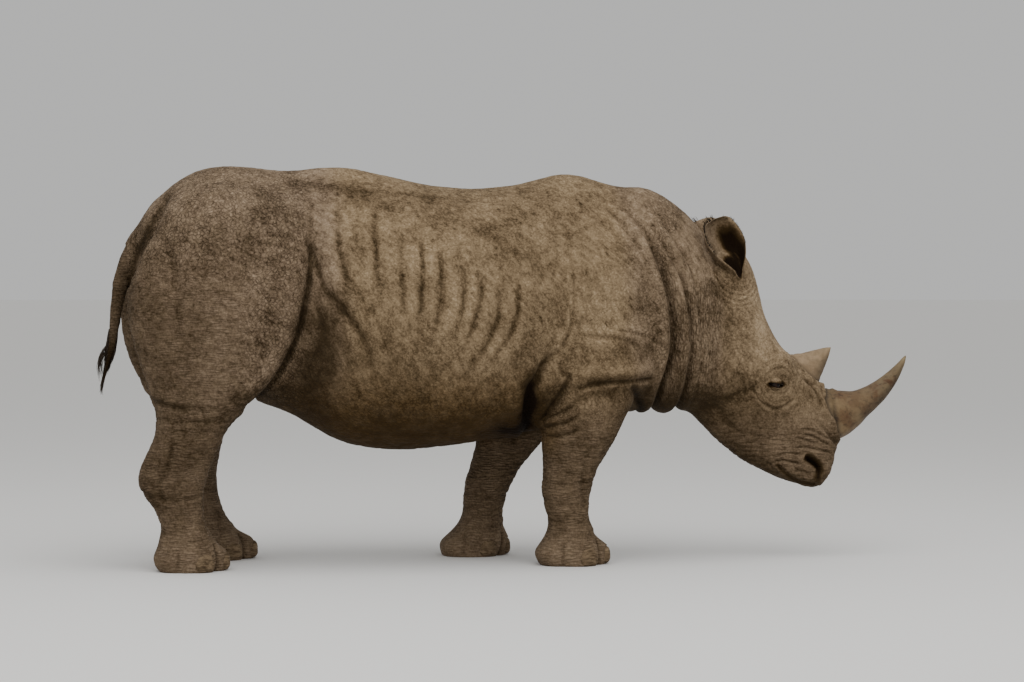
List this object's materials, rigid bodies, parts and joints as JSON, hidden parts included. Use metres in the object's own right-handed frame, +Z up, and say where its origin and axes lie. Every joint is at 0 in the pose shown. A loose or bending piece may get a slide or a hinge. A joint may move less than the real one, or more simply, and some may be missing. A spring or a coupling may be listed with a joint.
{
  "type": "rhinoceros",
  "caption": "Life-size still model of a standing white rhinoceros, with lowered head, long curved nose horn, short rear horn, cupped ears and hanging tail, resting on flat soles.",
  "frame": {"origin": "on the floor, under the middle of the animal's overall length and width", "axes": "+X from the tail towards the head, +Y towards the animal's left side, +Z up"},
  "size_m": [3.5536, 1.046, 1.7057],
  "materials": {
    "hide": "dry, wrinkled, dusty skin",
    "horn": "worn, fibrous horn",
    "nail": "dusty, dull nail",
    "eye": "wet gloss",
    "tuft": "coarse dark bristle"
  },
  "bodies": {
    "root": {"trunk": "hide", "neck": "hide", "head": "hide", "ear_left": "hide", "ear_right": "hide", "eye_left": "eye", "eye_right": "eye", "horn_front": "horn", "horn_rear": "horn", "tail": "hide", "tail_tuft": "tuft", "fore_right_upper": "hide", "fore_right_lower": "hide", "fore_right_foot": "hide", "fore_right_nail_inner": "nail", "fore_right_nail_middle": "nail", "fore_right_nail_outer": "nail", "fore_left_upper": "hide", "fore_left_lower": "hide", "fore_left_foot": "hide", "fore_left_nail_inner": "nail", "fore_left_nail_middle": "nail", "fore_left_nail_outer": "nail", "hind_right_upper": "hide", "hind_right_lower": "hide", "hind_right_foot": "hide", "hind_right_nail_inner": "nail", "hind_right_nail_middle": "nail", "hind_right_nail_outer": "nail", "hind_left_upper": "hide", "hind_left_lower": "hide", "hind_left_foot": "hide", "hind_left_nail_inner": "nail", "hind_left_nail_middle": "nail", "hind_left_nail_outer": "nail"}
  },
  "joints": []
}
